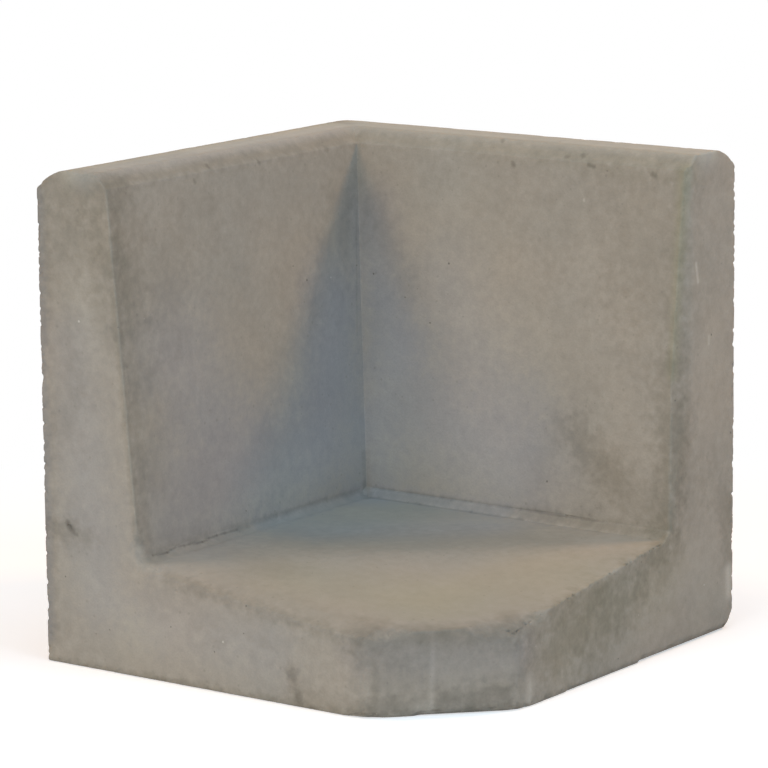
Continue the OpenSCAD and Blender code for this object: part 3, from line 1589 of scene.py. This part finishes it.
# For each kind: start, end, reach, strength and raggedness of its marks.
MARKS: dict[StainAndLight, tuple[tuple[Place, Place, float, float, float], ...]] = {
    StainAndLight.DAMP_AND_SHADE: (
        ((14, 400, 383), (76, 399, 386), 36, 0.42, 0.3),
        ((8, 400, 345), (72, 400, 348), 34, 0.20, 0.3),
        ((0, 400, 20), (0, 400, 380), 18, 0.42, 0.4),
        ((22, 400, 350), (18, 400, 205), 38, 0.20, 0.3),
        ((54, 400, 352), (62, 400, 318), 30, 0.18, 0.3),
        ((34, 400, 362), (50, 400, 330), 40, 0.12, 0.4),
        ((40, 400, 262), (50, 400, 235), 36, 0.10, 0.4),
        ((2, 400, 112), (46, 400, 107), 14, 0.34, 0.6),
        ((72, 386, 380), (79, 384, 296), 42, 0.22, 0.4),
        ((74, 300, 352), (80, 345, 290), 50, 0.12, 0.4),
        # Painted shade on the left wall's rounded inner arris at its end, darker than both
        # faces beside it.
        ((77, 388, 350), (97, 389, 110), 12, 0.30, 0.4),
        ((78, 399, 300), (97, 399, 108), 8, 0.42, 0.4),
        ((56, 400, 308), (73, 400, 262), 17, 0.22, 0.4),
        ((60, 400, 366), (72, 399, 340), 22, 0.22, 0.5),
        ((79, 380, 320), (85, 376, 246), 26, 0.15, 0.4),
        ((86, 370, 236), (92, 372, 156), 28, 0.17, 0.4),
        # Painted shade at the foot of the inward corner, and the painted shadow fan near the
        # corner's top on both walls.
        ((97, 97, 128), (99, 99, 100), 6, 0.36, 0.3),
        ((75, 96, 345), (83, 142, 260), 34, 0.20, 0.3),
        ((76, 93, 342), (82, 101, 272), 14, 0.20, 0.3),
        ((88, 76, 341), (128, 82, 272), 30, 0.22, 0.3),
        ((306, 92, 164), (338, 94, 142), 30, 0.35, 0.6),
        ((314, 92, 160), (330, 93, 148), 15, 0.16, 0.6),
        ((286, 91, 176), (276, 93, 128), 22, 0.12, 0.5),
        ((362, 74, 360), (370, 82, 270), 60, 0.18, 0.4),
        ((230, 75, 362), (370, 76, 330), 80, 0.12, 0.3),
        ((76, 370, 345), (82, 330, 280), 56, 0.10, 0.3),
        # Darker along the right wall's inner arris at its end and on the end face beside it.
        ((393, 70, 392), (393, 82, 262), 16, 0.26, 0.4),
        ((390, 86, 230), (394, 97, 102), 24, 0.42, 0.5),
        ((400, 74, 380), (400, 78, 200), 9, 0.30, 0.3),
        ((400, 80, 190), (400, 97, 98), 17, 0.44, 0.4),
        ((400, 82, 260), (400, 88, 150), 15, 0.20, 0.4),
        ((400, 69, 310), (400, 72, 170), 6, 0.26, 0.3),
        ((400, 75, 162), (400, 86, 84), 14, 0.34, 0.4),
        ((400, 86, 84), (400, 112, 58), 14, 0.30, 0.4),
        ((400, 52, 134), (400, 10, 104), 28, 0.18, 0.6),
        ((400, 10, 104), (400, 6, 62), 15, 0.34, 0.5),
        ((400, 104, 90), (400, 146, 64), 17, 0.30, 0.5),
        ((400, 146, 64), (400, 222, 18), 26, 0.28, 0.5),
        ((400, 106, 86), (400, 200, 70), 14, 0.42, 0.4),
        ((400, 200, 70), (400, 300, 56), 16, 0.40, 0.4),
        ((400, 150, 60), (400, 276, 36), 38, 0.42, 0.5),
        ((400, 232, 44), (400, 264, 34), 24, 0.20, 0.5),
        # Painted shade along the nose's top edge, over its face and at its top corners; the
        # short upright streak among them is staining.
        ((314, 400, 63), (400, 314, 63), 13, 0.55, 0.3),
        ((316, 398, 52), (396, 318, 56), 22, 0.44, 0.2),
        ((321, 393, 46), (321, 393, 4), 6, 0.34, 0.3),
        ((316, 398, 38), (335, 379, 34), 22, 0.16, 0.2),
        ((325, 389, 36), (399, 315, 38), 44, 0.28, 0.2),
        ((298, 400, 74), (314, 397, 66), 14, 0.36, 0.3),
        ((400, 290, 68), (398, 318, 60), 15, 0.38, 0.3),
        ((252, 400, 6), (314, 400, 6), 15, 0.32, 0.4),
        ((128, 400, 86), (292, 400, 66), 12, 0.36, 0.5),
        # Painted shade: a dark line along the bottom edges, where the element meets the
        # floor.
        ((6, 400, 1), (312, 400, 1), 7, 0.42, 0.6),
        ((314, 400, 1), (400, 314, 1), 8, 0.40, 0.5),
        ((400, 312, 1), (400, 10, 1), 7, 0.38, 0.6),
        # Painted shadow of both walls over the level back part of the foot.
        ((140, 236, 93), (184, 165, 93), 74, 0.16, 0.2),
        ((120, 320, 93), (190, 346, 88), 40, 0.20, 0.3),
        ((150, 270, 93), (300, 156, 93), 72, 0.34, 0.2),
        # Painted shade in the creases where the walls meet the foot.
        ((101, 394, 96), (101, 106, 96), 10, 0.42, 0.3),
        ((112, 101, 97), (394, 101, 97), 8, 0.38, 0.3),
        ((262, 101, 98), (394, 101, 98), 10, 0.24, 0.3),
        # Painted shade on the rim's inner bevel and just below it, darker than the lit top.
        ((68, 392, 392), (68, 74, 392), 10, 0.42, 0.4),
        ((72, 68, 392), (388, 68, 392), 10, 0.24, 0.4),
        ((300, 74, 382), (392, 74, 382), 13, 0.18, 0.4),
        ((130, 400, 68), (210, 400, 50), 34, 0.10, 0.4),
        # Painted shade at the nose's left top corner.
        ((308, 396, 70), (312, 384, 69), 26, 0.50, 0.3),
        ((160, 392, 88), (300, 388, 72), 24, 0.22, 0.3),
        # Painted shade at the nose's right top corner and along its top edge.
        ((397, 310, 68), (388, 306, 69), 22, 0.46, 0.3),
        ((318, 388, 68), (392, 314, 68), 15, 0.26, 0.3),
        ((400, 235, 77), (400, 300, 69), 12, 0.26, 0.3),
        ((342, 95, 134), (380, 96, 112), 26, 0.20, 0.5),
        ((400, 78, 190), (400, 62, 110), 34, 0.09, 0.4),
    ),
    StainAndLight.GRIME_AND_SHADE: (
        ((25, 398, 116), (29, 398, 112), 5, 0.80, 0.2),
        ((31, 400, 109), (34, 400, 108), 2.5, 0.40, 0.2),
        ((320, 394, 8), (337, 377, 8), 15, 0.32, 0.4),
        ((361, 353, 10), (393, 321, 12), 19, 0.44, 0.4),
        ((247, 400, 28), (252, 400, 8), 9, 0.50, 0.5),
        # Painted shade at the foot of the inward corner.
        ((99, 100, 99), (104, 106, 95), 9, 0.42, 0.3),
        ((231, 72, 382), (232, 72, 381), 3.5, 0.45, 0.3),
        ((213, 61, 399), (214, 62, 398), 3, 0.40, 0.3),
        ((281, 69, 391), (283, 69, 391), 3, 0.35, 0.3),
        ((296, 68, 393), (297, 68, 392), 3.5, 0.40, 0.3),
        ((305, 72, 386), (310, 72, 385), 3, 0.50, 0.3),
        ((366, 72, 383), (368, 72, 382), 4, 0.45, 0.3),
        ((71, 206, 387), (71, 205, 386), 3.5, 0.45, 0.3),
        ((68, 269, 392), (69, 269, 390), 3, 0.40, 0.3),
        ((72, 291, 382), (72, 290, 381), 3.5, 0.40, 0.3),
        ((71, 115, 387), (71, 113, 386), 4, 0.35, 0.3),
    ),
    StainAndLight.COOL_TINT_AND_SHADE: (
        ((2, 400, 20), (2, 400, 380), 10, 0.50, 0.4),
        # Painted cool shade over the nose's face.
        ((318, 396, 50), (401, 313, 50), 36, 0.40, 0.2),
        # Painted cool shade in the toe creases and in the shadow fan of the inward corner on
        # both walls.
        ((112, 101, 97), (240, 101, 97), 12, 0.50, 0.3),
        ((101, 250, 96), (101, 106, 96), 14, 0.45, 0.3),
        ((84, 120, 260), (92, 150, 150), 70, 0.80, 0.2),
        ((92, 200, 150), (96, 330, 130), 90, 0.55, 0.2),
        ((90, 80, 330), (125, 88, 220), 44, 0.60, 0.2),
        ((120, 92, 180), (250, 93, 140), 90, 0.65, 0.2),
        ((30, 400, 260), (60, 400, 60), 50, 0.35, 0.3),
        ((120, 400, 50), (220, 400, 46), 50, 0.32, 0.3),
        ((48, 392, 400), (48, 48, 400), 26, 0.75, 0.2),
        ((60, 48, 400), (392, 48, 400), 26, 0.60, 0.2),
        # Painted cool shade at the foot of the inward corner, over the shaded middle of both
        # walls and the foot's shaded back part.
        ((98, 96, 150), (110, 108, 98), 46, 0.60, 0.2),
        ((90, 330, 250), (94, 280, 160), 84, 0.48, 0.3),
        ((165, 86, 270), (230, 90, 190), 78, 0.32, 0.3),
        ((150, 235, 93), (250, 150, 93), 58, 0.42, 0.2),
    ),
    StainAndLight.SAND_AND_WARM_LIGHT: (
        # Partly a sandy tone, partly painted warm light on the foot's lit front part.
        ((217, 349, 85), (318, 316, 76), 70, 0.45, 0.2),
        ((318, 316, 76), (366, 207, 84), 70, 0.45, 0.2),
        ((45, 392, 400), (45, 45, 400), 30, 0.40, 0.2),
        ((45, 52, 400), (392, 56, 396), 30, 0.50, 0.2),
        ((396, 72, 390), (396, 87, 225), 11, 0.90, 0.2),
        ((400, 110, 66), (400, 250, 40), 60, 0.36, 0.3),
    ),
    StainAndLight.PALE_AND_LIGHT: (
        ((45, 400, 300), (42, 400, 150), 32, 0.12, 0.4),
        ((50, 400, 72), (90, 400, 34), 42, 0.30, 0.4),
        ((100, 400, 36), (225, 400, 42), 34, 0.14, 0.4),
        ((81, 305, 281), (89, 253, 199), 30, 0.10, 0.4),
        ((140, 74, 366), (200, 74, 360), 30, 0.11, 0.4),
        ((94, 130, 140), (97, 250, 112), 46, 0.36, 0.3),
        ((96, 130, 118), (97, 330, 108), 26, 0.22, 0.3),
        ((104, 95, 130), (230, 95, 120), 44, 0.26, 0.3),
        ((110, 92, 190), (118, 94, 130), 60, 0.45, 0.3),
        ((170, 92, 160), (230, 92, 150), 60, 0.16, 0.3),
        ((400, 58, 320), (400, 32, 210), 30, 0.12, 0.4),
        ((400, 58, 64), (400, 26, 40), 34, 0.16, 0.4),
        ((400, 52, 20), (400, 42, 38), 28, 0.14, 0.4),
        # Painted light on the rim's top, which is lit from above.
        ((36, 396, 400), (36, 60, 400), 17, 0.90, 0.2),
        ((51, 396, 400), (51, 62, 400), 16, 0.85, 0.2),
        ((44, 35, 400), (396, 35, 400), 16, 0.95, 0.2),
        ((60, 50, 400), (396, 50, 400), 15, 0.90, 0.2),
        # Painted light that lifts the shade down the inward corner and over the middle of the
        # back wall.
        ((96, 100, 140), (102, 104, 104), 32, 0.26, 0.3),
        ((92, 92, 280), (97, 97, 140), 52, 0.20, 0.2),
        ((165, 84, 300), (240, 90, 200), 78, 0.18, 0.3),
    ),
    StainAndLight.LIME_AND_HIGHLIGHT: (
        ((342, 372, 62), (341, 373, 48), 4, 0.20, 0.3),
        # Painted highlight along the nose's top edge.
        ((323, 385, 70), (375, 330, 70), 6, 0.16, 0.4),
        ((302, 74, 358), (302, 74, 357), 2, 0.80, 0.2),
        ((384, 74, 378), (385, 74, 377), 2.5, 0.70, 0.2),
        ((353, 361, 55), (352, 362, 5), 4, 0.32, 0.3),
        ((400, 298, 22), (400, 299, 5), 9, 0.72, 0.3),
        ((400, 60, 312), (400, 57, 297), 3, 0.90, 0.3),
        ((400, 7, 50), (400, 7, 30), 10, 0.90, 0.4),
        ((400, 40, 250), (400, 40, 244), 3, 0.50, 0.3),
        # Painted light on the rim's top.
        ((45, 250, 400), (45, 62, 400), 24, 0.20, 0.2),
        ((62, 45, 400), (396, 45, 400), 24, 0.16, 0.2),
    ),
}


def corner_element() -> CornerElement:
    """Puts together the element's sizes, wear and finish.

    Returns:
        The element, ready to build.
    """
    s = ElementSizes()
    length, corner, foot = s.leg_length, s.nose_corner, s.foot_height
    left_nose, left_base = (corner, length, s.nose_height), (corner, length, 0.0)
    left_end, left_top = (0.0, length, 0.0), (0.0, length, s.body_height - s.outer_bevel_drop)
    right_nose, right_base = mirrored(left_nose), mirrored(left_base)
    right_end, right_top = mirrored(left_end), mirrored(left_top)
    soft_edges = (
        SoftEdge((s.crease_offset, length, foot), left_nose, 9 * MM, 34 * MM),
        SoftEdge(left_base, left_nose, 6 * MM, 22 * MM),
        SoftEdge(right_base, right_nose, 5 * MM, 22 * MM),
        SoftEdge(right_nose, right_nose, 15 * MM, 46 * MM),
        SoftEdge(left_nose, left_nose, 13 * MM, 44 * MM),
        SoftEdge((350 * MM, 364 * MM, 0.0), (396 * MM, 318 * MM, 0.0), 6 * MM, 14 * MM),
        SoftEdge((length, 240 * MM, 0.0), (length, 130 * MM, 0.0), 4 * MM, 11 * MM),
        SoftEdge((length, 130 * MM, 0.0), right_end, 8 * MM, 18 * MM),
    )
    inwards, backwards, down = (0.0, -1.0, 0.0), (-1.0, 0.0, 0.0), (0.0, 0.0, -1.0)
    widest = (length, 86.3 * MM, 226 * MM)
    worn_bevels = (
        WornBevel(
            (s.crease_offset + 12 * MM, length, foot),
            left_nose,
            inwards,
            down,
            over_widths=(16 * MM, 13 * MM),
            back_widths=(7 * MM, 6 * MM),
        ),
        WornBevel(
            (length, s.rim_thickness, s.body_height - 10 * MM),
            widest,
            inwards,
            backwards,
            over_widths=(5 * MM, 20 * MM),
            back_widths=(4 * MM, 6 * MM),
        ),
        WornBevel(
            widest,
            (length, s.root_thickness, foot + s.toe_bevel),
            inwards,
            backwards,
            over_widths=(20 * MM, 2 * MM),
            back_widths=(6 * MM, 2 * MM),
        ),
    )
    chips = (
        Chip(right_end, 11 * MM, 0.3),
        Chip((26 * MM, length + 0.5 * MM, 113 * MM), 3.2 * MM, 0.4),
        Chip((134 * MM, length + 0.5 * MM, 76 * MM), 1.8 * MM, 0.3),
    )
    rough_edges = (
        (left_end, left_top),
        (right_end, right_top),
        (left_end, left_base),
        (right_end, right_base),
        (left_base, right_base),
        ((length, s.crease_offset, foot), right_nose),
    )
    marks = tuple(Mark(stain_and_light, *row) for stain_and_light, rows in MARKS.items() for row in rows)
    return CornerElement(
        sizes=s,
        weathering=Weathering(),
        finish=ConcreteFinish(marks, SEAMS, s.half_leg),
        soft_edges=soft_edges,
        rough_edges=rough_edges,
        worn_bevels=worn_bevels,
        chips=chips,
        seams=SEAMS,
    )


def main() -> None:
    """Builds the element and its studio, in order."""
    logging.basicConfig(level=logging.INFO, format="%(name)s: %(message)s")
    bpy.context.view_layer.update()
    element = corner_element()
    element.build(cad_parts[NODE], SurfaceEffects())
    Studio(SOFTBOXES).build()


if __name__ == "__main__":
    main()
